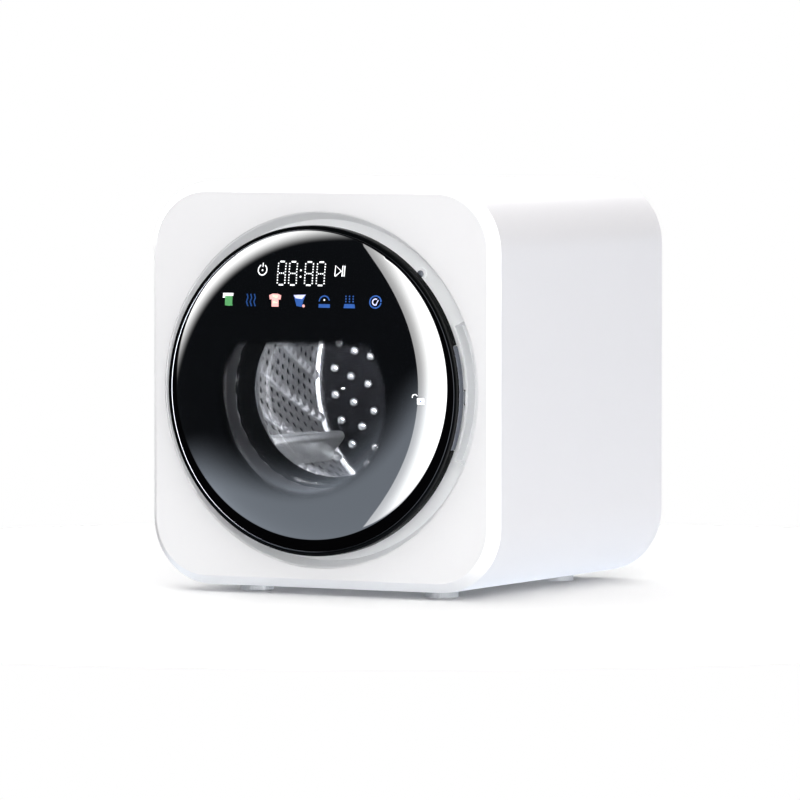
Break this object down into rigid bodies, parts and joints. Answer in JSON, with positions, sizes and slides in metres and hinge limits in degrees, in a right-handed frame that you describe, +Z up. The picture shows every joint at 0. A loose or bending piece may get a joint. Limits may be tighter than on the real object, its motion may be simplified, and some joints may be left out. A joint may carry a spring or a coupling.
{
  "type": "wall mounted washing machine",
  "caption": "Small wall-hung front loader: rounded white cabinet, large round black glass door with touch display, hung drum, belt drive and drain pump.",
  "frame": {"origin": "centre of the bounding box's base, level with the underside of the four feet", "axes": "+X to the machine's right seen from the front, front and door facing -Y, wall side +Y, +Z up"},
  "size_m": [0.4, 0.422, 0.418],
  "materials": {
    "front_white": "gloss",
    "sleeve_white": "satin",
    "zinc_sheet": "satin",
    "silver_plastic": "satin",
    "black_glass": "gloss",
    "clear_glass": "gloss",
    "black_plastic": "gloss",
    "dark_buffer": "satin",
    "black_rubber": "matte",
    "grey_rubber": "satin",
    "tub_plastic": "matte",
    "white_plastic": "satin",
    "drum_steel": "satin",
    "bright_steel": "polished",
    "cast_alloy": "cast",
    "circuit_board": "satin"
  },
  "bodies": {
    "cabinet": {"front_frame": "front_white", "cabinet_sleeve": "sleeve_white", "rear_cover": "sleeve_white", "rear_chassis": "zinc_sheet", "wall_bracket": "zinc_sheet", "foot_front_left": "silver_plastic", "foot_front_right": "silver_plastic", "foot_rear_left": "silver_plastic", "foot_rear_right": "silver_plastic", "door_surround": "silver_plastic", "door_buffer": "dark_buffer", "hinge_bracket": "zinc_sheet", "hinge_pin": "bright_steel", "lock_housing": "black_plastic", "door_gasket": "grey_rubber", "tub_front": "tub_plastic", "tub_rear": "tub_plastic", "tub_bush_1": "black_rubber", "tub_bush_2": "black_rubber", "tub_bush_3": "black_rubber", "tub_bush_4": "black_rubber", "heater_element": "bright_steel", "shaft_seal": "black_rubber", "front_bearing": "bright_steel", "rear_bearing": "bright_steel", "drive_belt": "black_rubber", "motor_body": "zinc_sheet", "motor_saddle": "black_plastic", "pump_housing": "black_plastic", "sump_hose": "black_rubber", "pump_motor": "zinc_sheet", "pump_saddle": "black_plastic", "drain_hose": "black_rubber", "inlet_valve": "white_plastic", "fill_hose": "grey_rubber", "spray_nozzle": "white_plastic", "board_tray": "zinc_sheet", "control_board": "circuit_board", "power_gland": "black_plastic"},
    "door": {"door_glass": "black_glass", "door_bezel": "black_plastic", "door_grip": "dark_buffer", "door_inner_frame": "silver_plastic", "door_bowl": "clear_glass", "display_board": "circuit_board", "digit_display": "black_plastic", "hinge_arm": "silver_plastic", "door_hook": "zinc_sheet"},
    "drum": {"drum_shell": "drum_steel", "drum_front_ring": "drum_steel", "drum_back": "drum_steel", "drum_lifter_1": "drum_steel", "drum_lifter_2": "drum_steel", "drum_lifter_3": "drum_steel", "drum_spider": "cast_alloy", "drum_shaft": "bright_steel", "drum_pulley": "cast_alloy"},
    "motor_rotor": {"motor_pulley": "bright_steel"},
    "pump_rotor": {"pump_impeller": "white_plastic"},
    "lock": {"lock_blade": "zinc_sheet"}
  },
  "joints": [
    {"name": "door_hinge", "type": "hinge", "parent": "cabinet", "child": "door", "pos_m": [-0.184, -0.163, 0.209], "axis": [0, 0, -1], "range_deg": [0, 95]},
    {"name": "drum_spin", "type": "hinge", "parent": "cabinet", "child": "drum", "pos_m": [0, 0, 0.209], "axis": [0, 1, 0], "continuous": true},
    {"name": "motor_spin", "type": "hinge", "parent": "cabinet", "child": "motor_rotor", "pos_m": [-0.147, 0.148, 0.062], "axis": [0, 1, 0], "continuous": true},
    {"name": "pump_spin", "type": "hinge", "parent": "cabinet", "child": "pump_rotor", "pos_m": [0.152, -0.002, 0.057], "axis": [0, 1, 0], "continuous": true},
    {"name": "lock_slide", "type": "slide", "parent": "cabinet", "child": "lock", "axis": [1, 0, 0], "range_m": [0, 0.0034]}
  ],
  "couplings": [
    {"joint": "motor_spin", "follows": "drum_spin", "ratio": 10}
  ]
}
